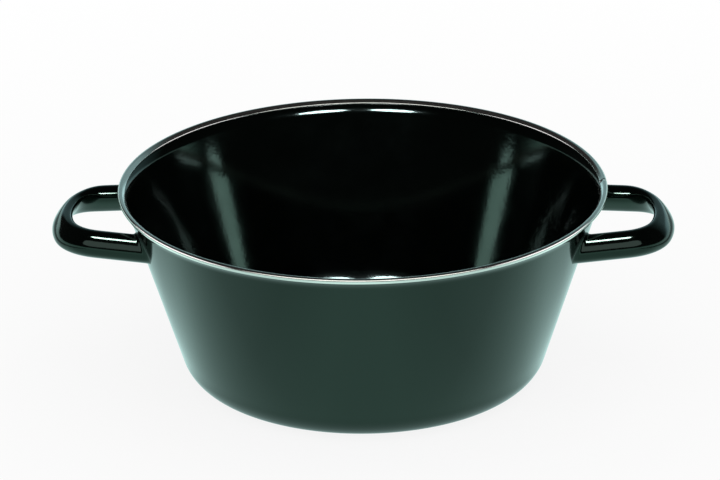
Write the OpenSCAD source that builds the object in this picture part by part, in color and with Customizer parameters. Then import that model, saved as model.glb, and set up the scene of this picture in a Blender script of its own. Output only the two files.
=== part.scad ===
// Deep frying pan: one pressed and enamelled steel shell with a leaning wall, a polished
// steel band rolled round its lip, and two hollow loop handles welded on opposite sides.
// Millimetres. The origin is the middle of the base on the table, +Z is up, and +X runs
// through the right-hand handle.

/* [Pan] */
// Diameter over the rim band
rim_d = 280; // [240:1:320]
// Height from the table to the top of the rim band
height = 115; // [96:1:140]
// Diameter at which the outer line of the wall would meet the table
base_d = 201.4; // [180:0.2:220]
// Thickness of the enamelled sheet
sheet = 1.4; // [1:0.1:2]
// Outer radius of the turn from base to wall
knuckle_r = 20; // [10:0.5:30]
// Width of the flat ring that the pan stands on
ring_w = 10; // [6:0.5:20]
// How far the middle of the base stands off the table
base_recess = 1; // [0.4:0.1:2]
// Width of the slope between the ring and the raised middle
slope_w = 4; // [2:0.5:8]

/* [Lip and rim band] */
// Radius of the flare from wall to lip, on the inside of the pan
flare_r = 11; // [8:0.5:14]
// Slope at which the lip runs into its bead, in degrees
lip_slope = 37; // [30:1:44]
// Diameter of the bead rolled along the edge of the lip
bead_d = 2.1; // [1.8:0.1:2.6]
// Thickness of the band's steel strip
band_t = 0.4; // [0.3:0.05:0.5]
// Width of the band seen from above
band_w = 4.2; // [3.8:0.1:5]
// How far the band curls in under the bead, in degrees
band_curl = 20; // [0:1:24]
// Direction of the band's butt seam, turned from +X towards +Y, in degrees
seam_at = 3.6; // [0:0.1:360]
// Width of the butt seam
seam_gap = 0.3; // [0.1:0.05:1]

/* [Handle loop] */
// How far each handle stands out past the rim band
handle_reach = 38.3; // [34:0.1:48]
// Distance between the middles of a handle's legs, beside the rim band
leg_spacing = 73.8; // [66:0.2:86]
// How far the middle of the legs lies below the top of the rim band
handle_drop = 22.6; // [20:0.1:40]
// Angle by which each leg spreads towards the pan, in degrees
leg_splay = 10.3; // [0:0.1:14]
// Radius of the bends between legs and grip, along the middle of the tube
bend_r = 24; // [18:0.1:28]
// Angle that each of those bends turns through, in degrees
bend_turn = 64; // [50:1:70]
// Angle by which the loop rises away from the pan, in degrees
loop_rise = 2.2; // [0:0.1:8]

/* [Handle section] */
// Width of the oval tube at the legs
leg_w = 12.8; // [9:0.1:15]
// Height of the oval tube at the legs
leg_h = 15.8; // [12:0.1:20]
// Angle by which the top of the oval leans inwards at the legs, in degrees
leg_lean = 23; // [0:1:40]
// Width of the oval tube at the grip
grip_w = 7.9; // [6:0.1:12]
// Height of the oval tube at the grip
grip_h = 16.2; // [12:0.1:20]
// Angle by which the top of the oval leans inwards at the grip, in degrees
grip_lean = 33; // [0:0.5:45]
// Squareness of the oval: 2 is an ellipse
oval_power = 2.4; // [2:0.1:3.5]
// Thickness of the handle's own sheet
handle_wall = 1.2; // [0.8:0.1:1.6]
// How far the top of the foot flares out where it is welded on
foot_flare = 2.4; // [0.5:0.1:3]
// Length of the flare, along the leg
foot_len = 3.5; // [2:0.5:6]

/* [Hidden] */

enamel = [0.07, 0.10, 0.09];
steel = [0.74, 0.76, 0.75];

// Clearance between the wall and the handle feet that are welded to it
seat_gap = 0.05;
// Overlap between neighbouring stretches of one sheet, so that they join
join = 0.05;
// Clearance between the band and the lip inside it
curl_gap = 0.15;
// Fineness of the round parts
round_fn = 200;
profile_fn = 96;

rim_r = rim_d / 2;

// The bead along the lip's edge lies inside the band
bead_r = bead_d / 2;
bead = [rim_r - band_t - curl_gap - bead_r, height - band_t - curl_gap - bead_r];

// Centre of the flare, outside the wall: its inside surface runs smoothly on to the bead
flare_c = bead + (flare_r - bead_r) * [sin(lip_slope), -cos(lip_slope)];

// The wall's outer line starts at the base corner and touches the flare's outer side
flare_from_corner = flare_c - [base_d / 2, 0];
wall_lean = acos((flare_r - sheet) / norm(flare_from_corner))
    - atan2(flare_from_corner[1], flare_from_corner[0]);
wall_slope = tan(wall_lean);
outward = [cos(wall_lean), -sin(wall_lean)];

// Centre of the turn from base to wall, which lies inside the pan
knuckle = [base_d / 2 - knuckle_r * (1 - sin(wall_lean)) / cos(wall_lean), knuckle_r];

// Height of the loop's plane beside the rim band
loop_z = height - handle_drop;

// Stations of the handle: along half of the grip, along a bend, and down a leg and its foot
grip_steps = 3;
bend_steps = 9;
oval_steps = 24;
leg_stations = [0.33, 0.66, 1];
foot_stations = [0.35, 0.65, 0.88, 1];

function outer_wall_r(z) = base_d / 2 + z * wall_slope;

// A polar wedge of a ring, from angle a0 to a1
module arc_strip(centre, r_in, r_out, a0, a1) {
    reach = 2 * r_out;
    translate(centre)
        intersection() {
            difference() {
                circle(r = r_out, $fn = profile_fn);
                circle(r = r_in, $fn = profile_fn);
            }
            polygon([[0, 0], reach * [cos(a0), sin(a0)], reach * [cos(a1), sin(a1)]]);
        }
}

// Half section of the shell: floor, knuckle, wall, lip and bead
module shell_profile() {
    ring_in = knuckle[0] - ring_w;
    ring_out = knuckle[0] + join;
    slope_in = ring_in - slope_w;
    polygon([
        [0, base_recess], [slope_in, base_recess], [ring_in, 0], [ring_out, 0],
        [ring_out, sheet], [ring_in, sheet], [slope_in, base_recess + sheet],
        [0, base_recess + sheet]
    ]);
    arc_strip(knuckle, knuckle_r - sheet, knuckle_r, -90, -wall_lean);
    upward = join * [sin(wall_lean), cos(wall_lean)];
    polygon([
        knuckle + knuckle_r * outward - upward,
        flare_c - (flare_r - sheet) * outward + upward,
        flare_c - flare_r * outward + upward,
        knuckle + (knuckle_r - sheet) * outward - upward
    ]);
    arc_strip(flare_c, flare_r - sheet, flare_r, 90 + lip_slope, 180 - wall_lean);
    translate(bead) circle(r = bead_r, $fn = profile_fn);
}

// Half section of the band: a strip that lies on the flare, rounds the bead and curls under it
module band_profile() {
    on_flare = flare_r + curl_gap;
    on_bead = bead_r + curl_gap;
    edge_at = 180 - acos((flare_c[0] - (rim_r - band_w) - band_t / 2) / (on_flare + band_t / 2));
    lip_at = 90 + lip_slope;
    curl_at = 270 - band_curl;
    reach = 4 * on_bead;
    join_turn = 360 * join / (2 * PI * on_flare);
    arc_strip(flare_c, on_flare, on_flare + band_t, lip_at - join_turn, edge_at);
    translate(flare_c + (on_flare + band_t / 2) * [cos(edge_at), sin(edge_at)])
        circle(d = band_t, $fn = 24);
    translate(bead) {
        difference() {
            circle(r = on_bead + band_t, $fn = profile_fn);
            circle(r = on_bead, $fn = profile_fn);
            polygon([[0, 0], reach * [cos(lip_at), sin(lip_at)], reach * [cos(curl_at), sin(curl_at)]]);
        }
        rotate(curl_at) translate([on_bead + band_t / 2, 0]) circle(d = band_t, $fn = 24);
    }
}

module pan_body() {
    color(enamel)
        rotate_extrude($fn = round_fn) shell_profile();
}

module rim_band() {
    seam_angle = 360 * seam_gap / (PI * rim_d);
    color(steel)
        rotate([0, 0, seam_at + seam_angle / 2])
            rotate_extrude(angle = 360 - seam_angle, $fn = round_fn) band_profile();
}

// Support of the oval in its width direction once it leans, with oval powers and their duals
dual_power = oval_power / (oval_power - 1);
grip_support = pow(
    pow(grip_w / 2 * cos(grip_lean), dual_power) + pow(grip_h / 2 * sin(grip_lean), dual_power),
    1 / dual_power
);
grip_x = rim_r + (handle_reach - grip_support) / cos(loop_rise);

// Half angle of the grip, and the radius that brings the legs to their spacing
grip_turn = 90 - leg_splay - bend_turn;
leg_normal = [sin(leg_splay), cos(leg_splay)];
grip_r = (leg_normal * [rim_r - grip_x, leg_spacing / 2]
    + bend_r * (leg_normal * [cos(grip_turn), sin(grip_turn)]) - bend_r)
    / (leg_normal * [cos(grip_turn) - 1, sin(grip_turn)]);
bend_c = [grip_x - grip_r, 0] + (grip_r - bend_r) * [cos(grip_turn), sin(grip_turn)];

// A station on half of the loop, seen from above: its turn from +X and its place
function on_grip(a) = [a, grip_x - grip_r + grip_r * cos(a), grip_r * sin(a)];
function on_bend(a) = [a, bend_c[0] + bend_r * cos(a), bend_c[1] + bend_r * sin(a)];
half_loop = concat(
    [for (i = [0 : grip_steps - 1]) on_grip(grip_turn * i / grip_steps)],
    [for (i = [0 : bend_steps]) on_bend(grip_turn + bend_turn * i / bend_steps)]
);
leg_start = half_loop[len(half_loop) - 1];
leg_turn = 90 - leg_splay;

// How much of the grip's section a station has: 1 in the middle of the grip, 0 at the legs
function ease(k) = k * k * (3 - 2 * k);
function grip_share(a) = ease(max(0, (cos(a) - sin(leg_splay)) / (1 - sin(leg_splay))));
function mix(leg, grip, k) = leg + (grip - leg) * k;

// From the loop's plane, which rises away from the pan, into the pan's own frame
function lift(x, y, up) = [
    rim_r + (x - rim_r) * cos(loop_rise) - up * sin(loop_rise),
    y,
    loop_z + (x - rim_r) * sin(loop_rise) + up * cos(loop_rise)
];

// Point of the oval at angle t, in the directions across and up, with its outward normal
function signed_pow(v, p) = sign(v) * pow(abs(v), p);
function oval_point(w, h, t) = [
    w / 2 * signed_pow(cos(t), 2 / oval_power),
    h / 2 * signed_pow(sin(t), 2 / oval_power)
];
function oval_normal(w, h, t) =
    let (n = [signed_pow(cos(t), 2 - 2 / oval_power) / w, signed_pow(sin(t), 2 - 2 / oval_power) / h])
    n / norm(n);
function leaned(p, lean) = [
    p[0] * cos(lean) - p[1] * sin(lean),
    p[1] * cos(lean) + p[0] * sin(lean)
];

// Section of the tube at a station, inset by the sheet for the inner skin
function section_offset(a, t, inset, flare) =
    let (
        k = grip_share(a),
        w = mix(leg_w, grip_w, k) - 2 * inset,
        h = mix(leg_h, grip_h, k) - 2 * inset,
        lean = mix(leg_lean, grip_lean, k)
    )
    leaned(oval_point(w, h, t) + flare * oval_normal(w, h, t), lean);
function section_point(station, t, inset, flare = 0) =
    let (p = section_offset(station[0], t, inset, flare))
    lift(station[1] + p[0] * cos(station[0]), station[2] + p[0] * sin(station[0]), p[1]);

// Distance from a point, along the leg towards the pan, to the wall's outer cone
leg_dir = [-sin(leg_turn) * cos(loop_rise), cos(leg_turn), -sin(leg_turn) * sin(loop_rise)];
function to_wall(p) =
    let (
        cone = outer_wall_r(p[2]) + seat_gap / cos(wall_lean),
        grow = wall_slope * leg_dir[2],
        a = leg_dir[0] * leg_dir[0] + leg_dir[1] * leg_dir[1] - grow * grow,
        b = p[0] * leg_dir[0] + p[1] * leg_dir[1] - cone * grow,
        c = p[0] * p[0] + p[1] * p[1] - cone * cone
    )
    (-b - sqrt(b * b - a * c)) / a;

// Rings along the leg: the straight part, then the foot, whose flare opens like a quarter
// circle at the top of the oval and fades out towards its bottom
function flare_at(t, u) = foot_flare * (1 + sin(t)) / 2 * (1 - sqrt(max(0, 1 - u * u)));
function leg_point(t, inset, along, u) =
    let (
        p = section_point(leg_start, t, inset, inset > 0 ? 0 : flare_at(t, u)),
        d = to_wall(p)
    )
    p + leg_dir * (u > 0 ? d - foot_len * (1 - u) : (d - foot_len) * along);

function ring(station, inset) =
    [for (i = [0 : oval_steps - 1]) section_point(station, 360 * i / oval_steps, inset)];
function leg_ring(inset, along, u) =
    [for (i = [0 : oval_steps - 1]) leg_point(360 * i / oval_steps, inset, along, u)];
function mirrored(r) = [for (p = r) [p[0], -p[1], p[2]]];

// All rings of one skin, from one foot round the grip to the other
function skin(inset) =
    let (half = concat(
        [for (s = half_loop) ring(s, inset)],
        [for (v = leg_stations) leg_ring(inset, v, 0)],
        [for (u = foot_stations) leg_ring(inset, 1, u)]
    ))
    concat(
        [for (i = [len(half) - 1 : -1 : 1]) mirrored(half[i])],
        half
    );

// Closed tube: outer skin, inner skin turned inside out, and the two rims at the feet
module hollow_loop() {
    outer = skin(0);
    inner = skin(handle_wall);
    rings = len(outer);
    n = oval_steps;
    last = rings - 1;
    shift = rings * n;
    function at(r, i) = r * n + i % n;
    points = [for (r = concat(outer, inner)) each r];
    faces = concat(
        [for (r = [0 : last - 1]) for (i = [0 : n - 1]) each [
            [at(r, i), at(r + 1, i), at(r + 1, i + 1)],
            [at(r, i), at(r + 1, i + 1), at(r, i + 1)]
        ]],
        [for (r = [0 : last - 1]) for (i = [0 : n - 1]) each [
            [shift + at(r, i), shift + at(r + 1, i + 1), shift + at(r + 1, i)],
            [shift + at(r, i), shift + at(r, i + 1), shift + at(r + 1, i + 1)]
        ]],
        [for (i = [0 : n - 1]) each [
            [at(0, i), at(0, i + 1), shift + at(0, i + 1)],
            [at(0, i), shift + at(0, i + 1), shift + at(0, i)]
        ]],
        [for (i = [0 : n - 1]) each [
            [at(last, i), shift + at(last, i + 1), at(last, i + 1)],
            [at(last, i), shift + at(last, i), shift + at(last, i + 1)]
        ]]
    );
    polyhedron(points = points, faces = faces, convexity = 6);
}

module handle_right() {
    color(enamel) hollow_loop();
}

module handle_left() {
    color(enamel) rotate([0, 0, 180]) hollow_loop();
}

pan_body();
rim_band();
handle_left();
handle_right();
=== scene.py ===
"""Deep frying pan: enamelled steel shell, steel rim band and two loop handles, on a white table.

Run as a script in Blender 4.5. Everything is in metres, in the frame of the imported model: the
origin is the middle of the base on the table, +Z is up, and +X runs through the right handle.
"""

import math

import bmesh
import bpy
import numpy as np
from bpy.props import FloatProperty, FloatVectorProperty, PointerProperty
from mathutils import Matrix, Vector


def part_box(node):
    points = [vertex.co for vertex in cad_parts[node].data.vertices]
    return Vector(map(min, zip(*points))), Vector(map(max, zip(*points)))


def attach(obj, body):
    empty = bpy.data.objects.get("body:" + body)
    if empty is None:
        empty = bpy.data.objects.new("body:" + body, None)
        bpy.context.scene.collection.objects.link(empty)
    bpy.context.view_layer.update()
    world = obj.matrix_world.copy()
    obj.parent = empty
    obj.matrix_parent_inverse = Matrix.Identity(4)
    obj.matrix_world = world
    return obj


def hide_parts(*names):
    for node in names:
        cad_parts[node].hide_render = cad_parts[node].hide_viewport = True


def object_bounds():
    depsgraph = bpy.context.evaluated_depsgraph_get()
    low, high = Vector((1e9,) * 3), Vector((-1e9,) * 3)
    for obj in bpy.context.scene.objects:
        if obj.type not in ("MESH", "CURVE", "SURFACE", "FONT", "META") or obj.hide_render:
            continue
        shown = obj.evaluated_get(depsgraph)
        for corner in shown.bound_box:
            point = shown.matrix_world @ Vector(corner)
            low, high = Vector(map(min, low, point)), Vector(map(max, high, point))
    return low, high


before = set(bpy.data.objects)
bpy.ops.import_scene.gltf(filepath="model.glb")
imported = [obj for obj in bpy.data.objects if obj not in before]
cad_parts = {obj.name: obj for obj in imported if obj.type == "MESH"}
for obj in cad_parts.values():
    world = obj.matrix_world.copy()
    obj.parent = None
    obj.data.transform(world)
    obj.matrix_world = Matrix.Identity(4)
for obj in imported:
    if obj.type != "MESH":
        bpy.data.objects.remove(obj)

bl_info = {
    "name": "Deep Frying Pan",
    "version": (1, 0, 0),
    "blender": (4, 5, 0),
    "location": "3D View > Sidebar > Frying Pan",
    "description": "Builds an enamelled deep frying pan with a steel rim band and loop handles",
    "category": "Add Mesh",
}

CAD_LOW, CAD_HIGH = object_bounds()
BAND_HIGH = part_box("rim_band")[1]


# Fixed values: lengths in metres, steps in points

SAME_POINT = 1e-7       # points of a path closer than this are one point
MERGE_DISTANCE = 2e-7   # corners of a mesh closer than this are merged
SHELL_STEPS = 360       # round the shell
BAND_STEPS = 480        # round the rim band
TUBE_STEPS = 72         # round the tube of a handle
LOOP_STEP = 0.0004      # along the middle line of a handle, before it is thinned
LOOP_EASING = 15        # steps that each of two averages of the loop's direction takes in
WELD_DEPTH = 0.0002     # how far the feet of the handles run into the wall
LAMP_DISTANCE = 2.4     # from the pan to the softboxes and cards
CARD_DISTANCE = 0.406   # from the pan to the two low cards
TABLE_TINT = (0.69, 1.0, 0.965)   # the pale table as enamel and steel mirror it


# Sizes and colours

def length(name, description, default):
    """A length in metres, with its default."""
    return FloatProperty(name=name, description=description, default=default, unit="LENGTH",
                         precision=5)


def turn(name, description, default):
    """An angle, with its default given in degrees."""
    return FloatProperty(name=name, description=description, default=math.radians(default),
                         subtype="ANGLE")


def colour(name, description, default):
    """A colour or tint in linear red, green and blue."""
    return FloatVectorProperty(name=name, description=description, default=default,
                               subtype="COLOR", size=3, min=0.0, max=1.0)


def amount(name, description, default, high=1.0):
    """A plain number from 0 to high."""
    return FloatProperty(name=name, description=description, default=default, min=0.0, max=high,
                         precision=4)


class PanSizes(bpy.types.PropertyGroup):
    """Sizes of the shell and its rim band."""
    rim_radius: length("Rim radius", "Radius over the rim band", BAND_HIGH.x)
    height: length("Height", "Table to the top of the rim band", CAD_HIGH.z)
    base_radius: length("Base radius", "Where the wall's outer line would meet the table", 0.1007)
    sheet: length("Sheet", "Thickness of the enamelled sheet", 0.0014)
    knuckle: length("Knuckle", "Outer radius of the turn from base to wall", 0.020)
    ring_width: length("Ring width", "Width of the ring that the pan stands on", 0.010)
    recess: length("Recess", "How far the middle of the base stands off the table", 0.001)
    slope_width: length("Slope width", "Width of the slope beside the ring", 0.004)
    flare: length("Flare", "Radius of the flare from wall to lip, inside", 0.011)
    lip_slope: turn("Lip slope", "Slope at which the lip runs into its bead", 37)
    bead_radius: length("Bead radius", "Radius of the lip's bead under the band", 0.00105)
    band_sheet: length("Band sheet", "Thickness of the band's steel", 0.0004)
    band_gap: length("Band gap", "Clearance between band and lip", 0.00015)
    band_width: length("Band width", "Width of the band seen from above", 0.0042)
    band_curl: turn("Band curl", "How far the band curls in under the bead", 20)
    ease_radius: length("Knuckle easing", "Inner radius where the knuckle leaves the wall", 0.0310)
    ease_turn: turn("Knuckle easing turn", "How far the knuckle turns at that radius", 30)
    flare_drop: length("Flare drop", "How far below the solid's flare the wall starts to turn",
                       0.0014)
    roll_radius: length("Band roll", "Radius at which the band's inner edge turns down", 0.0006)
    roll_turn: turn("Band roll turn", "How far the band's inner edge turns down", 62)
    seam_at: turn("Seam direction", "Where the band's butt seam lies", 3.6)
    seam_gap: length("Seam gap", "Width of the band's butt seam", 0.00012)


class HandleSizes(bpy.types.PropertyGroup):
    """Sizes of the two loop handles."""
    reach: length("Reach", "How far the loop stands out past the rim band", 0.0383)
    leg_spacing: length("Leg spacing", "Between the middles of the legs, beside the rim", 0.0738)
    drop: length("Drop", "Middle of the legs below the top of the rim", 0.0226)
    splay: turn("Splay", "How far each leg spreads towards the pan", 10.3)
    bend_radius: length("Bend radius", "Radius of the bends along the middle of the tube", 0.024)
    bend_turn: turn("Bend turn", "Angle that each bend turns through", 64)
    rise: turn("Rise", "How far the loop rises away from the pan", 2.2)
    leg_width: length("Leg width", "Width of the oval at the legs", 0.0128)
    leg_height: length("Leg height", "Height of the oval at the legs", 0.0158)
    leg_lean: turn("Leg lean", "How far the oval leans inwards at the legs", 23)
    grip_width: length("Grip width", "Width of the oval at the grip", 0.0079)
    grip_height: length("Grip height", "Height of the oval at the grip", 0.0162)
    grip_lean: turn("Grip lean", "How far the oval leans inwards at the grip", 33)
    oval_power: FloatProperty(name="Oval power", description="2 is an ellipse", default=2.4)
    foot_flare: length("Foot flare", "How far the top of the foot flares out", 0.0024)
    foot_length: length("Foot length", "Length of the flare along the leg", 0.0035)


class Finishes(bpy.types.PropertyGroup):
    """Colours and gloss of enamel and steel."""
    enamel: colour("Enamel", "Body colour of the black-green enamel", (0.0006, 0.0011, 0.0009))
    enamel_tint: colour("Enamel tint", "Tint of its reflection, seen head on", (0.63, 0.94, 0.76))
    enamel_rough: amount("Enamel roughness", "Roughness of the fired gloss", 0.085)
    steel: colour("Steel", "Colour of the polished rim band", (0.84, 0.81, 0.76))
    steel_rough: amount("Steel roughness", "Roughness of the polished steel", 0.14)


class StudioLight(bpy.types.PropertyGroup):
    """Levels of the lamps, the cards and the room."""
    softbox: amount("Softbox", "Radiance of the softboxes beside the camera", 62.0, 200.0)
    plain: amount("Plain level", "Even light of the room on matt surfaces", 0.85, 4.0)
    low_front: amount("Low front", "Brightness of the low panels, on the handles", 1.2, 10.0)
    front_card: amount("Front card", "Brightness of the broad front card, on the band", 1.8, 10.0)
    side_card: amount("Side cards", "Brightness of the two side cards, on the band", 1.5, 10.0)
    low_card: amount("Low cards", "Brightness of the two cards close to the pan", 3.4, 10.0)
    back_wall: amount("Back wall", "Brightness of the wall behind, as steel shows it", 0.30, 4.0)


# Surfaces in numpy

def arc(centre, radius, start, end, count):
    """Points centre + radius (cos t, sin t), with t from start to end in degrees."""
    t = np.radians(np.linspace(start, end, count))
    return np.stack([centre[0] + radius * np.cos(t), centre[1] + radius * np.sin(t)], axis=1)


def line(start, end, count):
    """Points start + k (end - start), with k from 0 to 1, closer together near both ends."""
    k = 0.5 - 0.5 * np.cos(np.linspace(0, np.pi, count))
    start, end = np.asarray(start, float), np.asarray(end, float)
    return start + k[:, None] * (end - start)


def without_doubles(path):
    """The path with every point dropped that repeats the one before it."""
    step = np.linalg.norm(np.diff(path, axis=0), axis=1)
    return path[np.concatenate([[True], step > SAME_POINT])]


def revolve(path, angles):
    """Grid (r cos a, r sin a, z): the path's (r, z) carried round +Z over the given angles."""
    r, z = path[None, :, 0], path[None, :, 1]
    a = angles[:, None]
    height = np.broadcast_to(z, (len(angles), len(path)))
    return np.stack([r * np.cos(a), r * np.sin(a), height], axis=2)


def grid_faces(rows, columns, wrap_rows, wrap_columns):
    """Quads between neighbouring points of a grid, as indices, with either way joined up."""
    i = np.arange(rows if wrap_rows else rows - 1)
    j = np.arange(columns if wrap_columns else columns - 1)
    i, j = np.meshgrid(i, j, indexing="ij")
    i1, j1 = (i + 1) % rows, (j + 1) % columns
    row, next_row = i * columns, i1 * columns
    return np.stack([row + j, next_row + j, next_row + j1, row + j1], axis=-1).reshape(-1, 4)


def surface(name, points, quads, caps=()):
    """A smooth mesh object from points and quads, its doubles merged and its faces outwards."""
    faces = [tuple(q) for q in quads.tolist()] + [tuple(c) for c in caps]
    mesh = bpy.data.meshes.new(name)
    mesh.from_pydata(points.reshape(-1, 3).tolist(), [], faces)
    work = bmesh.new()
    work.from_mesh(mesh)
    bmesh.ops.remove_doubles(work, verts=work.verts, dist=MERGE_DISTANCE)
    bmesh.ops.recalc_face_normals(work, faces=work.faces)
    work.to_mesh(mesh)
    work.free()
    mesh.polygons.foreach_set("use_smooth", np.ones(len(mesh.polygons), bool))
    mesh.update()
    piece = bpy.data.objects.new(name, mesh)
    bpy.context.scene.collection.objects.link(piece)
    return piece


def add_ring_uv(piece):
    """UV map with u = distance round the rim and v = height plus reach, both in metres."""
    mesh = piece.data
    co = np.empty(len(mesh.vertices) * 3)
    mesh.vertices.foreach_get("co", co)
    co = co.reshape(-1, 3)
    radius = np.hypot(co[:, 0], co[:, 1])
    u = np.arctan2(co[:, 1], -co[:, 0]) * radius.max()
    v = co[:, 2] - radius
    corner = np.empty(len(mesh.loops), int)
    mesh.loops.foreach_get("vertex_index", corner)
    layer = mesh.uv_layers.new(name="ring")
    layer.data.foreach_set("uv", np.stack([u[corner], v[corner]], axis=1).ravel())


# The shell and its band in section

def section(pan):
    """Wall lean and centres of the lip's bead, the flare and the knuckle, as in the solids.

    The flare touches the bead where the lip has its slope. The wall's outer line touches the
    flare, so its lean is acos((flare - sheet) / d) - b, with d and b the length and slope of
    the line from where the wall would meet the table to the flare's centre. The knuckle
    touches the wall and the table.
    """
    inset = pan.band_sheet + pan.band_gap + pan.bead_radius
    bead = np.array([pan.rim_radius - inset, pan.height - inset])
    slope = pan.lip_slope
    flare = bead + (pan.flare - pan.bead_radius) * np.array([math.sin(slope), -math.cos(slope)])
    corner = flare - np.array([pan.base_radius, 0])
    lean = math.acos((pan.flare - pan.sheet) / np.linalg.norm(corner))
    lean = lean - math.atan2(corner[1], corner[0])
    knuckle_x = pan.base_radius - pan.knuckle * (1 - math.sin(lean)) / math.cos(lean)
    return lean, bead, flare, np.array([knuckle_x, pan.knuckle])


def inner_path(pan):
    """Inside of the shell from the floor to the bead, with its unit normals into the pan.

    A chain of arcs, each tangent to the next: the knuckle turns at one radius from the floor
    and at a larger one into the wall, and the flare turns from the wall towards the lip. The
    last stretch, under the band, is a cubic that ends in the bead's tangent. Each point has
    its heading beside it while the path is put together.
    """
    lean, bead, flare, _ = section(pan)
    tight_end = math.pi / 2 - lean - pan.ease_turn
    tight = pan.knuckle - pan.sheet
    chain = []
    place, heading = np.array([0.0, pan.sheet]), 0.0
    for radius, turned, count in ((tight, tight_end, 34), (pan.ease_radius, pan.ease_turn, 14)):
        centre = place + radius * np.array([-math.sin(heading), math.cos(heading)])
        a = heading + np.linspace(0, turned, count)
        x, z = centre[0] + radius * np.sin(a), centre[1] - radius * np.cos(a)
        chain.append(np.stack([x, z, a], axis=1))
        place, heading = chain[-1][-1, :2], heading + turned
    knuckle_points = np.concatenate(chain)
    wall_x = pan.base_radius - pan.sheet / math.cos(lean)
    knuckle_points[:, 0] += wall_x + place[1] * math.tan(lean) - place[0]

    top = flare[1] + pan.flare * math.sin(lean) - pan.flare_drop
    start = np.array([wall_x + top * math.tan(lean), top])
    wall_start = knuckle_points[-1, :2]
    wall_points = line(wall_start, start, 26)
    along_wall = np.full((len(wall_points), 1), math.pi / 2 - lean)
    wall_points = np.concatenate([wall_points, along_wall], axis=1)

    centre = start + pan.flare * np.array([math.cos(lean), -math.sin(lean)])
    flare_end = math.radians(44)
    n = np.linspace(lean, flare_end, 26)
    x, z = centre[0] - pan.flare * np.cos(n), centre[1] + pan.flare * np.sin(n)
    flare_points = np.stack([x, z, math.pi / 2 - n], axis=1)
    lip = pan.lip_slope
    end = bead + pan.bead_radius * np.array([-math.sin(lip), math.cos(lip)])
    first, last = flare_points[-1, :2], end
    reach = np.linalg.norm(last - first)
    h1 = reach * np.array([math.sin(n[-1]), math.cos(n[-1])])
    h2 = reach * np.array([math.cos(lip), math.sin(lip)])
    k = np.linspace(0, 1, 14)[1:, None]
    under = ((2 * k ** 3 - 3 * k ** 2 + 1) * first + (k ** 3 - 2 * k ** 2 + k) * h1
             + (3 * k ** 2 - 2 * k ** 3) * last + (k ** 3 - k ** 2) * h2)
    slope = ((6 * k ** 2 - 6 * k) * first + (3 * k ** 2 - 4 * k + 1) * h1
             + (6 * k - 6 * k ** 2) * last + (3 * k ** 2 - 2 * k) * h2)
    under = np.concatenate([under, np.arctan2(slope[:, 1:], slope[:, :1])], axis=1)
    path = np.concatenate([knuckle_points, wall_points[1:], flare_points[1:], under])
    return path[:, :2], np.stack([-np.sin(path[:, 2]), np.cos(path[:, 2])], axis=1)


def shell_path(pan):
    """Closed half section of the shell from the underside's middle, over the lip, to the floor's.

    The outside is the inside moved out by the sheet, from 0.3 of the height to just short of
    the bead. Below that, a straight line runs down to the knuckle's own arc.
    """
    lean, bead, _, knuckle = section(pan)
    inside, normal = inner_path(pan)
    wall_from = pan.height * 0.3
    bead_reach = pan.bead_radius * 1.12
    outside = inside - pan.sheet * normal
    outside = outside[np.linalg.norm(outside - bead, axis=1) > bead_reach]
    outside = np.concatenate([
        arc(knuckle, pan.knuckle, -90, -math.degrees(lean), 40),
        outside[outside[:, 1] > wall_from],
    ])
    ring_out = knuckle[0]
    ring_in = ring_out - pan.ring_width
    slope_in = ring_in - pan.slope_width
    foot = outside[-1] - bead
    start = math.degrees(math.atan2(foot[1], foot[0]))
    return without_doubles(np.concatenate([
        line((0, pan.recess), (slope_in, pan.recess), 12),
        line((slope_in, pan.recess), (ring_in, 0), 6),
        line((ring_in, 0), (ring_out, 0), 8),
        outside,
        arc(bead, pan.bead_radius, start, 90 + math.degrees(pan.lip_slope), 28),
        inside[::-1],
        line((ring_out, pan.sheet), (ring_in, pan.sheet), 8),
        line((ring_in, pan.sheet), (slope_in, pan.recess + pan.sheet), 6),
        line((slope_in, pan.recess + pan.sheet), (0, pan.recess + pan.sheet), 12),
    ]))


def band_path(pan):
    """Closed section of the band: a middle line thickened by half the sheet to either side.

    The middle line runs from the rolled inner edge up along the lip, round the bead and under
    it. Both ends are closed by a half circle.
    """
    _, bead, flare, _ = section(pan)
    half = pan.band_sheet / 2
    on_flare = pan.flare + pan.band_gap + half
    on_bead = pan.bead_radius + pan.band_gap + half
    lip = math.radians(90) + pan.lip_slope
    edge_x = pan.rim_radius - pan.band_width + half + pan.roll_radius * 0.35
    edge = math.pi - math.acos((flare[0] - edge_x) / on_flare)

    def stretch(centre, radius, start, end, count):
        """Points centre + radius (cos t, sin t), each with its heading t - 90 degrees."""
        t = np.linspace(start, end, count)
        x, z = centre[0] + radius * np.cos(t), centre[1] + radius * np.sin(t)
        return np.stack([x, z, t - math.pi / 2], axis=1)

    strip = stretch(flare, on_flare, edge, lip, 22)
    roll_centre = strip[0, :2] - pan.roll_radius * np.array([math.cos(edge), math.sin(edge)])
    roll = stretch(roll_centre, pan.roll_radius, edge + pan.roll_turn, edge, 14)
    bend = stretch(bead, on_bead, lip, -math.pi / 2 - pan.band_curl, 52)
    middle = np.concatenate([roll, strip[1:], bend[1:]])
    place, heading = middle[:, :2], middle[:, 2]
    out = np.stack([-np.sin(heading), np.cos(heading)], axis=1)
    first, last = math.degrees(heading[0]), math.degrees(heading[-1])
    return without_doubles(np.concatenate([
        arc(place[0], half, first + 270, first + 90, 9),
        (place + half * out)[1:],
        arc(place[-1], half, last + 90, last - 90, 9)[1:],
        (place - half * out)[::-1][1:-1],
    ]))


# The loop handle

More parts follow.
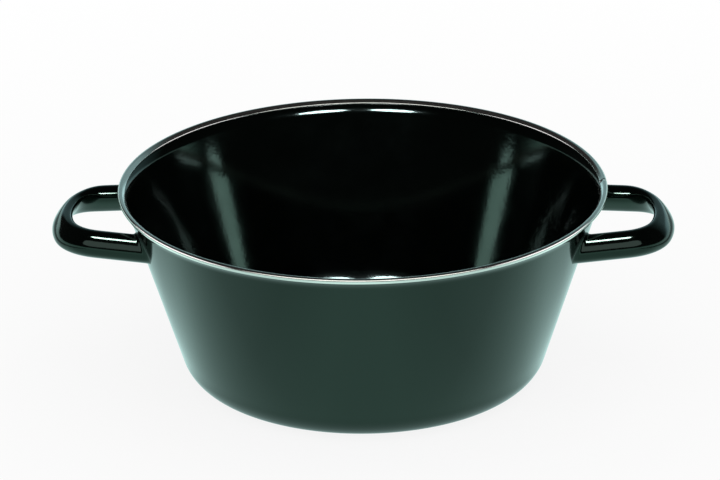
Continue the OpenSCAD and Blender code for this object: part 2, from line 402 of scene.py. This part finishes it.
def centre_line(sizes, rim_radius, grip_x):
    """Half of the loop from above: a grip arc, a bend and a straight leg, with eased curvature.

    The direction angle grows with the distance at 1/radius and is averaged over a few
    millimetres, and the place is the running sum of (-sin a, cos a) from the grip's middle.
    """
    turn_end = math.pi / 2 - sizes.splay
    grip_turn = turn_end - sizes.bend_turn
    normal = np.array([math.sin(sizes.splay), math.cos(sizes.splay)])
    arm = np.array([math.cos(grip_turn), math.sin(grip_turn)])
    bend = sizes.bend_radius
    offset = normal @ np.array([rim_radius - grip_x, sizes.leg_spacing / 2])
    grip_radius = (offset + bend * (normal @ arm) - bend) / (normal @ (arm - np.array([1.0, 0.0])))
    length_grip = grip_radius * grip_turn
    length_bend = bend * sizes.bend_turn
    leg_length = 0.060
    run_in = 0.02
    total = length_grip + length_bend + leg_length
    s = np.arange(-run_in, total, LOOP_STEP)
    a = np.interp(s, [-length_grip, 0, length_grip, length_grip + length_bend, total],
                  [-grip_turn, 0, grip_turn, turn_end, turn_end])
    window = np.ones(LOOP_EASING) / LOOP_EASING
    side = LOOP_EASING // 2
    for _ in range(2):
        before = a[0] + (a[1] - a[0]) * np.arange(-side, 0)
        a = np.convolve(np.concatenate([before, a, np.full(side, a[-1])]), window, mode="valid")
    x = np.cumsum(-np.sin(a)) * LOOP_STEP
    y = np.cumsum(np.cos(a)) * LOOP_STEP
    zero = np.argmin(np.abs(s))
    keep = slice(zero, None)
    return a[keep] - a[zero], grip_x + (x - x[zero])[keep], (y - y[zero])[keep]


def oval(width, height, power, t):
    """Superellipse (w/2 |cos t|^(2/p), h/2 |sin t|^(2/p)) with signs, and its outward normal."""
    c, s = np.cos(t), np.sin(t)
    point = np.stack([width / 2 * np.sign(c) * np.abs(c) ** (2 / power),
                      height / 2 * np.sign(s) * np.abs(s) ** (2 / power)], axis=-1)
    normal = np.stack([np.sign(c) * np.abs(c) ** (2 - 2 / power) / width,
                       np.sign(s) * np.abs(s) ** (2 - 2 / power) / height], axis=-1)
    return point, normal / np.linalg.norm(normal, axis=-1, keepdims=True)


def handle_points(sizes, pan):
    """Rings of the right-hand loop, from one foot round the grip to the other.

    Each ring is the leaning oval set square to the centre line. Towards the foot the oval
    grows by flare (1 - sqrt(1 - u^2)), most at its top, and every point then runs along the
    leg until it meets the cone of the wall. The grip's middle lies inside the reach by the
    leaning oval's half width, ((w/2 cos lean)^q + (h/2 sin lean)^q)^(1/q), q = p / (p - 1).
    """
    lean = section(pan)[0]
    power = sizes.oval_power
    dual = power / (power - 1)
    support = ((sizes.grip_width / 2 * math.cos(sizes.grip_lean)) ** dual
               + (sizes.grip_height / 2 * math.sin(sizes.grip_lean)) ** dual) ** (1 / dual)
    rim = pan.rim_radius
    grip_x = rim + (sizes.reach - support) / math.cos(sizes.rise)
    a, x, y = centre_line(sizes, rim, grip_x)
    straight_within = 1e-4
    leg_from = np.argmax(a > a[-1] - straight_within)
    pick = np.concatenate([np.arange(0, leg_from, 3), [leg_from]])
    a, x, y = a[pick], x[pick], y[pick]

    t = np.linspace(0, 2 * np.pi, TUBE_STEPS, endpoint=False)
    at_leg = math.sin(sizes.splay)
    share = np.clip((np.cos(a) - at_leg) / (1 - at_leg), 0, 1)
    share = share * share * (3 - 2 * share)

    def mixed(leg, grip):
        """Values along the loop, from the leg's to the grip's."""
        return (leg + (grip - leg) * share)[:, None]

    def leaned(p, angle):
        """Points of a section turned by the angle."""
        return np.stack([p[..., 0] * np.cos(angle) - p[..., 1] * np.sin(angle),
                         p[..., 1] * np.cos(angle) + p[..., 0] * np.sin(angle)], axis=-1)

    def lifted(px, py, up):
        """Points of the level loop set at its height and turned up by its rise at the rim."""
        c, s = math.cos(sizes.rise), math.sin(sizes.rise)
        base = pan.height - sizes.drop
        return np.stack([rim + (px - rim) * c - up * s, py + 0 * up,
                         base + (px - rim) * s + up * c], axis=-1)

    angle = mixed(sizes.leg_lean, sizes.grip_lean)
    width = mixed(sizes.leg_width, sizes.grip_width)
    height = mixed(sizes.leg_height, sizes.grip_height)
    across = leaned(oval(width, height, power, t[None, :])[0], angle)
    rings = lifted(x[:, None] + across[..., 0] * np.cos(a)[:, None],
                   y[:, None] + across[..., 0] * np.sin(a)[:, None], across[..., 1])

    last = a[-1]
    leg = np.array([-math.sin(last) * math.cos(sizes.rise), math.cos(last),
                    -math.sin(last) * math.sin(sizes.rise)])
    foot_point, foot_normal = oval(sizes.leg_width, sizes.leg_height, power, t)

    def to_wall(p):
        """Distance along the leg at which a point meets the wall's cone."""
        cone = pan.base_radius - WELD_DEPTH + p[:, 2] * math.tan(lean)
        grow = math.tan(lean) * leg[2]
        k2 = leg[0] ** 2 + leg[1] ** 2 - grow ** 2
        k1 = p[:, 0] * leg[0] + p[:, 1] * leg[1] - cone * grow
        k0 = p[:, 0] ** 2 + p[:, 1] ** 2 - cone ** 2
        return (-k1 - np.sqrt(k1 * k1 - k2 * k0)) / k2

    def foot_ring(flare):
        """The leg's section, grown by flare at each of its points."""
        spread = leaned(foot_point + flare[:, None] * foot_normal, sizes.leg_lean)
        return lifted(x[-1] + spread[:, 0] * math.cos(last), y[-1] + spread[:, 0] * math.sin(last),
                      spread[:, 1])

    straight = foot_ring(np.zeros(TUBE_STEPS))
    leg_run = to_wall(straight) - sizes.foot_length
    legs = [straight + leg * (leg_run * k)[:, None] for k in np.linspace(0.04, 1, 24)]
    at_bottom, more_at_top = 0.18, 0.82
    top = at_bottom + more_at_top * (1 + np.sin(t + sizes.leg_lean)) / 2
    feet = []
    for u in np.sin(np.linspace(0.05, 1, 18) * np.pi / 2):
        ring = foot_ring(sizes.foot_flare * top * (1 - math.sqrt(max(0.0, 1 - u * u))))
        feet.append(ring + leg * (to_wall(ring) - sizes.foot_length * (1 - u))[:, None])
    half = np.concatenate([rings, np.array(legs), np.array(feet)])
    other = half[:0:-1] * np.array([1.0, -1.0, 1.0])
    return np.concatenate([other, half])


# Materials

def node_tree(name):
    """A new material with its node tree and its Principled shader."""
    material = bpy.data.materials.new(name)
    material.use_nodes = True
    tree = material.node_tree
    return material, tree, tree.nodes["Principled BSDF"]


def add_node(tree, kind, **settings):
    """A new node of the kind, with its settings made."""
    node = tree.nodes.new(kind)
    for key, value in settings.items():
        setattr(node, key, value)
    return node


def noise(tree, vector, scale, detail=2.0, rough=0.5):
    """Noise from 0 to 1 with scale patches to the metre."""
    node = add_node(tree, "ShaderNodeTexNoise")
    node.inputs["Scale"].default_value = scale
    node.inputs["Detail"].default_value = detail
    node.inputs["Roughness"].default_value = rough
    tree.links.new(vector, node.inputs["Vector"])
    return node.outputs["Fac"]


def ranged(tree, value, low, high, out_low, out_high):
    """The value, moved from the range low to high into out_low to out_high and held there."""
    node = add_node(tree, "ShaderNodeMapRange")
    ends = (("From Min", low), ("From Max", high), ("To Min", out_low), ("To Max", out_high))
    for key, setting in ends:
        node.inputs[key].default_value = setting
    tree.links.new(value, node.inputs["Value"])
    return node.outputs["Result"]


def combined(tree, operation, one, other):
    """One value with the other, by a Math node's operation."""
    node = add_node(tree, "ShaderNodeMath", operation=operation)
    tree.links.new(one, node.inputs[0])
    tree.links.new(other, node.inputs[1])
    return node.outputs[0]


def mixed_shader(tree, share, first, second):
    """The first shader where share is 0 and the second where it is 1."""
    node = add_node(tree, "ShaderNodeMixShader")
    tree.links.new(share, node.inputs["Fac"])
    tree.links.new(first, node.inputs[1])
    tree.links.new(second, node.inputs[2])
    return node.outputs[0]


def mottled(tree, share, base, darker, lighter):
    """The base colour times darker where share is 0 and times lighter where it is 1."""
    tone = add_node(tree, "ShaderNodeMixRGB")
    tone.inputs["Color1"].default_value = (*[c * darker for c in base], 1)
    tone.inputs["Color2"].default_value = (*[min(1.0, c * lighter) for c in base], 1)
    tree.links.new(share, tone.inputs["Fac"])
    return tone.outputs["Color"]


def bumped(tree, height, distance, under=None):
    """Normal bumped by a height times a distance, over another bump where one is given."""
    node = add_node(tree, "ShaderNodeBump")
    node.inputs["Distance"].default_value = distance
    node.inputs["Strength"].default_value = 1.0
    tree.links.new(height, node.inputs["Height"])
    if under is not None:
        tree.links.new(under, node.inputs["Normal"])
    return node.outputs["Normal"]


def enamel_material(looks):
    """Black-green glass on steel: a deep gloss, slow waves and fine orange peel from firing."""
    material, tree, shader = node_tree("fired_enamel")
    place = add_node(tree, "ShaderNodeTexCoord").outputs["Object"]
    shader.inputs["IOR"].default_value = 1.5
    shader.inputs["Specular Tint"].default_value = (*looks.enamel_tint, 1)
    clouds = mottled(tree, noise(tree, place, 18.0, 3.0), looks.enamel, 0.7, 1.3)
    tree.links.new(clouds, shader.inputs["Base Color"])
    worn = noise(tree, place, 60.0, 4.0, 0.6)
    smooth, dull = looks.enamel_rough * 0.75, looks.enamel_rough * 1.35
    tree.links.new(ranged(tree, worn, 0.3, 0.7, smooth, dull), shader.inputs["Roughness"])
    wave_height, peel_height = 0.00006, 0.000018
    waves = bumped(tree, noise(tree, place, 26.0, 1.0), wave_height)
    peel = bumped(tree, noise(tree, place, 420.0, 1.5), peel_height, waves)
    tree.links.new(peel, shader.inputs["Normal"])
    return material


def steel_material(looks):
    """Polished stainless strip with faint polishing lines that run round the rim."""
    material, tree, shader = node_tree("polished_steel")
    shader.inputs["Metallic"].default_value = 1.0
    uv = add_node(tree, "ShaderNodeUVMap", uv_map="ring").outputs["UV"]
    stretch = add_node(tree, "ShaderNodeMapping")
    stretch.inputs["Scale"].default_value = (30.0, 6000.0, 1.0)
    tree.links.new(uv, stretch.inputs["Vector"])
    lines = noise(tree, stretch.outputs["Vector"], 1.0, 3.0, 0.6)
    tree.links.new(mottled(tree, lines, looks.steel, 0.92, 1.06), shader.inputs["Base Color"])
    smooth, dull = looks.steel_rough * 0.8, looks.steel_rough * 1.25
    tree.links.new(ranged(tree, lines, 0.3, 0.7, smooth, dull), shader.inputs["Roughness"])
    line_height = 0.000003
    tree.links.new(bumped(tree, lines, line_height), shader.inputs["Normal"])
    return material


def dress(piece, material, *nodes, slot):
    """Gives a piece its material and its body, and hides the solids that it stands for; slot is not
    used.
    """
    piece.data.materials.clear()
    piece.data.materials.append(material)
    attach(piece, "root")
    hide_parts(*nodes)


def enamel():
    """The one enamel that shell and handles share."""
    found = bpy.data.materials.get("fired_enamel")
    return found or enamel_material(bpy.context.scene.pan_finishes)


# Operators, one for each piece

class PAN_OT_shell(bpy.types.Operator):
    """Pressed and enamelled shell with its flared lip"""
    bl_idname = "pan.shell"
    bl_label = "Enamelled shell"

    def execute(self, context):
        path = shell_path(context.scene.pan_sizes)
        angles = np.linspace(0, 2 * np.pi, SHELL_STEPS, endpoint=False)
        quads = grid_faces(len(angles), len(path), True, False)
        piece = surface("enamel_shell", revolve(path, angles), quads)
        dress(piece, enamel(), "pan_body", slot="enamel")
        return {"FINISHED"}


class PAN_OT_band(bpy.types.Operator):
    """Polished steel band round the lip, with its butt seam"""
    bl_idname = "pan.band"
    bl_label = "Steel rim band"

    def execute(self, context):
        pan = context.scene.pan_sizes
        path = band_path(pan)
        half_gap = pan.seam_gap / pan.rim_radius / 2
        angles = np.linspace(pan.seam_at + half_gap, pan.seam_at + 2 * np.pi - half_gap, BAND_STEPS)
        quads = grid_faces(len(angles), len(path), False, True)
        n = len(path)
        first = list(range(n))[::-1]
        last = [(len(angles) - 1) * n + i for i in range(n)]
        piece = surface("steel_rim_band", revolve(path, angles), quads, caps=(first, last))
        add_ring_uv(piece)
        dress(piece, steel_material(context.scene.pan_finishes), "rim_band", slot="steel")
        return {"FINISHED"}


class PAN_OT_handles(bpy.types.Operator):
    """Two hollow loop handles, welded on and enamelled"""
    bl_idname = "pan.handles"
    bl_label = "Loop handles"

    def execute(self, context):
        rings = handle_points(context.scene.handle_sizes, context.scene.pan_sizes)
        rows, columns = rings.shape[:2]
        quads = grid_faces(rows, columns, False, True)
        first = list(range(columns))[::-1]
        last = [(rows - 1) * columns + i for i in range(columns)]
        turned = rings * np.array([-1.0, -1.0, 1.0])
        for name, points in (("handle_right", rings), ("handle_left", turned)):
            piece = surface("enamel_" + name, points, quads, caps=(first, last))
            dress(piece, enamel(), name, slot="enamel")
        return {"FINISHED"}


# The studio

def camera_axes(elevation, roll, turned):
    """Right, up and forward of the camera: elevation down in degrees, then the picture's roll.

    The pan's own small turn in the photograph is given to the camera instead. Roll and turn
    are in radians.
    """
    e = math.radians(elevation)
    forward = Vector((0, math.cos(e), -math.sin(e)))
    right = Vector((1, 0, 0))
    up = right.cross(forward)
    c, s = math.cos(roll), math.sin(roll)
    right, up = right * c + up * s, up * c - right * s
    back_turn = Matrix.Rotation(-turned, 3, "Z")
    return back_turn @ right, back_turn @ up, back_turn @ forward


def aim(thing, place, target):
    """Puts a thing at a place with its -Z axis towards the target."""
    place, target = Vector(place), Vector(target)
    facing = (target - place).to_track_quat("-Z", "Y").to_matrix().to_4x4()
    thing.matrix_world = Matrix.Translation(place) @ facing


def from_camera(azimuth, elevation, distance):
    """A place seen from the pan: azimuth turns from -Y towards +X, both in degrees."""
    a, e = math.radians(azimuth), math.radians(elevation)
    return Vector((math.sin(a) * math.cos(e), -math.cos(a) * math.cos(e), math.sin(e))) * distance


def softbox(name, level, tint, seen_by, azimuths, elevations, tilt, distance):
    """An oval lamp or card that only the gloss of the pieces in seen_by shows.

    It is as wide and high as the angles between its edges, seen from the pan's middle, and
    tilt turns it in its own plane. All angles are in degrees. Its power is level x pi x area.
    """
    turn_half = math.radians(azimuths[1] - azimuths[0]) / 2
    rise_half = math.radians(elevations[1] - elevations[0]) / 2
    middle_rise = sum(elevations) / 2
    lamp = bpy.data.lights.new(name, "AREA")
    lamp.shape = "ELLIPSE"
    lamp.size = 2 * distance * math.tan(turn_half) * math.cos(math.radians(middle_rise))
    lamp.size_y = 2 * distance * math.tan(rise_half)
    lamp.energy = level * math.pi * lamp.size * lamp.size_y * math.pi / 4
    lamp.color = tint
    box = bpy.data.objects.new(name, lamp)
    bpy.context.scene.collection.objects.link(box)
    centre = Vector((0, 0, 0.10))
    aim(box, centre + from_camera(sum(azimuths) / 2, middle_rise, distance), centre)
    box.matrix_world = box.matrix_world @ Matrix.Rotation(math.radians(tilt), 4, "Z")
    box.visible_camera = False
    box.visible_diffuse = False
    group = bpy.data.collections.new("lit_by_" + name)
    for piece in seen_by:
        group.objects.link(piece)
    box.light_linking.receiver_collection = group


def floor_material():
    """White table that keeps a pale shadow, and a cool glow where enamel and steel mirror it.

    The camera sees mostly plain white, and nothing else far from the pan. Gloss sees the glow:
    full on a long oval in front of the pan, dim past it, with painted shade close to the pan's
    foot and behind it, and painted light that makes it stronger to either side than in front.
    """
    material, tree, shader = node_tree("white_table")
    shader.inputs["Base Color"].default_value = (0.9, 0.9, 0.9, 1)
    shader.inputs["Roughness"].default_value = 0.9
    shader.inputs["Specular IOR Level"].default_value = 0.0
    path = add_node(tree, "ShaderNodeLightPath")
    mirrored = combined(tree, "MAXIMUM", path.outputs["Is Glossy Ray"],
                        path.outputs["Is Transmission Ray"])
    glow = add_node(tree, "ShaderNodeEmission")
    glow.inputs["Color"].default_value = (*TABLE_TINT, 1)
    place = add_node(tree, "ShaderNodeTexCoord").outputs["Object"]

    def distance(centre_y, half_x, half_y):
        """Length of (x / half_x, (y - centre_y) / half_y)."""
        stretch = add_node(tree, "ShaderNodeMapping")
        stretch.inputs["Location"].default_value = (0, -centre_y / half_y, 0)
        stretch.inputs["Scale"].default_value = (1 / half_x, 1 / half_y, 0)
        tree.links.new(place, stretch.inputs["Vector"])
        size = add_node(tree, "ShaderNodeVectorMath", operation="LENGTH")
        tree.links.new(stretch.outputs["Vector"], size.inputs[0])
        return size.outputs["Value"]

    axes = add_node(tree, "ShaderNodeSeparateXYZ")
    tree.links.new(place, axes.inputs["Vector"])
    # Painted light and shade in the glow that gloss sees: painted shade close to the pan's foot and
    # behind it, painted light to either side
    in_oval = ranged(tree, distance(-0.9, 0.62, 1.35), 1.0, 1.3, 1.0, 0.22)
    painted_foot_shade = ranged(tree, distance(0, 1, 1), 0.080, 0.115, 0.35, 1.0)
    aside = add_node(tree, "ShaderNodeMath", operation="ABSOLUTE")
    tree.links.new(axes.outputs["X"], aside.inputs[0])
    in_front = ranged(tree, aside.outputs[0], 0.03, 0.10, 1.0, 0.80)
    beside = ranged(tree, axes.outputs["Y"], -0.11, -0.02, 1.0, 1.22)
    tree.links.new(in_front, beside.node.inputs["To Min"])
    behind = ranged(tree, axes.outputs["Y"], 0.0, 0.05, 1.0, 0.82)
    level = combined(tree, "MULTIPLY", combined(tree, "MULTIPLY", in_oval, painted_foot_shade),
                     combined(tree, "MULTIPLY", beside, behind))
    tree.links.new(level, glow.inputs["Strength"])
    lit = mixed_shader(tree, mirrored, shader.outputs[0], glow.outputs[0])
    white = add_node(tree, "ShaderNodeEmission")
    white.inputs["Strength"].default_value = 1.0
    far_off = ranged(tree, distance(0, 1, 1), 0.2, 0.7, 0.88, 1.0)
    share = combined(tree, "MULTIPLY", path.outputs["Is Camera Ray"], far_off)
    seen = mixed_shader(tree, share, lit, white.outputs[0])
    tree.links.new(seen, tree.nodes["Material Output"].inputs["Surface"])
    return material


def room(light):
    """World: white to the camera, an even level for matt surfaces, a dim studio in reflections.

    In reflections the table goes on below the horizon. Above it the room is nearly black, but
    for a pale wall behind the pan that ends on the left.
    """
    world = bpy.data.worlds.new("studio_room")
    bpy.context.scene.world = world
    world.use_nodes = True
    tree = world.node_tree
    tree.nodes.clear()
    out = add_node(tree, "ShaderNodeOutputWorld")
    direction = add_node(tree, "ShaderNodeTexCoord").outputs["Generated"]
    parts = add_node(tree, "ShaderNodeSeparateXYZ")
    tree.links.new(direction, parts.inputs["Vector"])

    def ramp(stops):
        """Colour by the height of the view, from stops of elevation in degrees and colour."""
        node = add_node(tree, "ShaderNodeValToRGB")
        shift = add_node(tree, "ShaderNodeMath", operation="MULTIPLY_ADD")
        shift.inputs[1].default_value = 0.5
        shift.inputs[2].default_value = 0.5
        tree.links.new(parts.outputs["Z"], shift.inputs[0])
        tree.links.new(shift.outputs[0], node.inputs["Fac"])
        keys = node.color_ramp.elements
        while len(keys) < len(stops):
            keys.new(0.5)
        for key, (elevation, shade) in zip(keys, stops):
            key.position = 0.5 + 0.5 * math.sin(math.radians(elevation))
            key.color = (*shade, 1)
        return node.outputs["Color"]

    def grey(level, tint=(1.0, 1.0, 1.0)):
        """A tint at a level, both 0 to 1."""
        return tuple(level * t for t in tint)

    table, pale = grey(0.5, TABLE_TINT), (0.62, 1.0, 1.06)
    front = ramp([(-90, table), (3, table), (5, grey(0.01)), (40, grey(0.006)), (90, grey(0.006))])
    wall = light.back_wall / 2
    back = ramp([
        (-90, table), (-1, table), (1, grey(wall * 3.0, pale)), (5, grey(wall * 2.5, pale)),
        (9, grey(wall, pale)), (24, grey(wall, pale)), (40, grey(0.02, pale)), (90, grey(0.01)),
    ])
    far_side = ranged(tree, parts.outputs["Y"], 0.45, 0.75, 0, 1)
    right_of_end = ranged(tree, parts.outputs["X"], -0.50, -0.40, 0, 1)
    behind = combined(tree, "MULTIPLY", far_side, right_of_end)
    around = add_node(tree, "ShaderNodeMixRGB")
    tree.links.new(behind, around.inputs["Fac"])
    tree.links.new(front, around.inputs["Color1"])
    tree.links.new(back, around.inputs["Color2"])

    studio = add_node(tree, "ShaderNodeBackground")
    studio.inputs["Strength"].default_value = 2.0
    tree.links.new(around.outputs["Color"], studio.inputs["Color"])
    even = add_node(tree, "ShaderNodeBackground")
    even.inputs["Strength"].default_value = light.plain
    white = add_node(tree, "ShaderNodeBackground")
    white.inputs["Color"].default_value = (1, 1, 1, 1)
    path = add_node(tree, "ShaderNodeLightPath")
    unseen = mixed_shader(tree, path.outputs["Is Glossy Ray"], even.outputs[0], studio.outputs[0])
    seen = mixed_shader(tree, path.outputs["Is Camera Ray"], unseen, white.outputs[0])
    tree.links.new(seen, out.inputs["Surface"])


class PAN_OT_studio(bpy.types.Operator):
    """White table, the room, its lamps and cards, and the camera"""
    bl_idname = "pan.studio"
    bl_label = "Table, light and camera"

    def execute(self, context):
        scene = context.scene
        light = scene.pan_light
        room(light)

        corners = np.array([[-1.2, -0.8, 0], [1.2, -0.8, 0], [1.2, 1.6, 0], [-1.2, 1.6, 0]])
        table = surface("white_table", corners, np.array([[0, 1, 2, 3]]))
        table.data.materials.append(floor_material())

        shell = [bpy.data.objects["enamel_shell"]]
        band = [bpy.data.objects["steel_rim_band"]]
        loops = [bpy.data.objects[name] for name in ("enamel_handle_left", "enamel_handle_right")]
        flash, white = (1.0, 0.91, 1.10), (1.0, 0.98, 1.04)
        cream, green = (0.93, 0.97, 0.96), (0.80, 0.95, 1.0)
        far, close = LAMP_DISTANCE, CARD_DISTANCE
        # Edges as seen from the pan, left and right from -Y towards +X, low and high, in degrees
        for name, level, tint, seen_by, left, right, low, high, tilt, distance in (
                ("camera_side_left", light.softbox, flash, shell, -28, -3, 31, 44, 14, far),
                ("camera_side_right", light.softbox, flash, shell, 10, 37, 31, 44, -14, far),
                ("low_card_left", light.low_card, green, shell, -93, -80, -2, 7.8, 0, close),
                ("low_card_right", light.low_card, green, shell, 85, 99, -2, 7.6, 0, close),
                ("front_card", light.front_card, cream, band, -55, 60, 28, 58, 0, far),
                ("side_card_left", light.side_card, white, band, -125, -60, 6, 30, 0, far),
                ("side_card_right", light.side_card, white, band, 60, 125, 6, 30, 0, far),
                ("high_left", light.softbox, white, loops, -52, -18, 49, 57, 0, far),
                ("high_right", light.softbox, white, loops, 14, 46, 49, 58, 0, far),
                ("low_left", light.low_front, white, loops, -60, -8, 12, 30, 0, far),
                ("low_right", light.low_front, white, loops, 8, 60, 12, 30, 0, far)):
            softbox(name, level, tint, seen_by, (left, right), (low, high), tilt, distance)

        # Soft light from above for the table and its shadow, never mirrored
        key = bpy.data.lights.new("overhead_fill", "AREA")
        key.size = 1.4
        key.energy = 6.0
        above = bpy.data.objects.new("overhead_fill", key)
        scene.collection.objects.link(above)
        aim(above, (0.2, -0.3, 1.8), (0, 0, 0))
        above.visible_camera = False
        above.visible_glossy = False

        # The photograph's view
        lens = bpy.data.cameras.new("view")
        lens.sensor_width = 36.0
        lens.lens = 260.4
        lens.shift_x = -0.0050
        lens.shift_y = 0.0524
        lens.clip_start = 0.1
        lens.clip_end = 20.0
        camera = bpy.data.objects.new("view", lens)
        scene.collection.objects.link(camera)
        elevation = 22.8396
        roll = -0.010473
        turned = math.radians(-1.61)
        right, up, forward = camera_axes(elevation, roll, turned)
        target = Vector((0, 0, 0.05746))
        camera_distance = 3.0
        place = target - forward * camera_distance
        camera.matrix_world = Matrix((
            (right.x, up.x, -forward.x, place.x),
            (right.y, up.y, -forward.y, place.y),
            (right.z, up.z, -forward.z, place.z),
            (0, 0, 0, 1),
        ))
        scene.camera = camera
        scene.view_settings.view_transform = "Standard"
        return {"FINISHED"}


class PAN_PT_panel(bpy.types.Panel):
    """Sizes, finishes and steps of the frying pan"""
    bl_idname = "PAN_PT_panel"
    bl_label = "Deep Frying Pan"
    bl_space_type = "VIEW_3D"
    bl_region_type = "UI"
    bl_category = "Frying Pan"

    def draw(self, context):
        layout = self.layout
        for operator in OPERATORS:
            layout.operator(operator.bl_idname)
        for group in ("pan_sizes", "handle_sizes", "pan_finishes", "pan_light"):
            box = layout.box()
            values = getattr(context.scene, group)
            for name in values.__annotations__:
                box.prop(values, name)


GROUPS = (
    ("pan_sizes", PanSizes),
    ("handle_sizes", HandleSizes),
    ("pan_finishes", Finishes),
    ("pan_light", StudioLight),
)
OPERATORS = (PAN_OT_shell, PAN_OT_band, PAN_OT_handles, PAN_OT_studio)


def register():
    """Registers the sizes, the steps and the panel."""
    for name, group in GROUPS:
        bpy.utils.register_class(group)
        setattr(bpy.types.Scene, name, PointerProperty(type=group))
    for kind in (*OPERATORS, PAN_PT_panel):
        bpy.utils.register_class(kind)


def unregister():
    """Takes the panel, the steps and the sizes away again."""
    for kind in reversed((*OPERATORS, PAN_PT_panel)):
        bpy.utils.unregister_class(kind)
    for name, group in reversed(GROUPS):
        delattr(bpy.types.Scene, name)
        bpy.utils.unregister_class(group)


def main():
    register()
    for step in (bpy.ops.pan.shell, bpy.ops.pan.band, bpy.ops.pan.handles, bpy.ops.pan.studio):
        step()


if __name__ == "__main__":
    main()
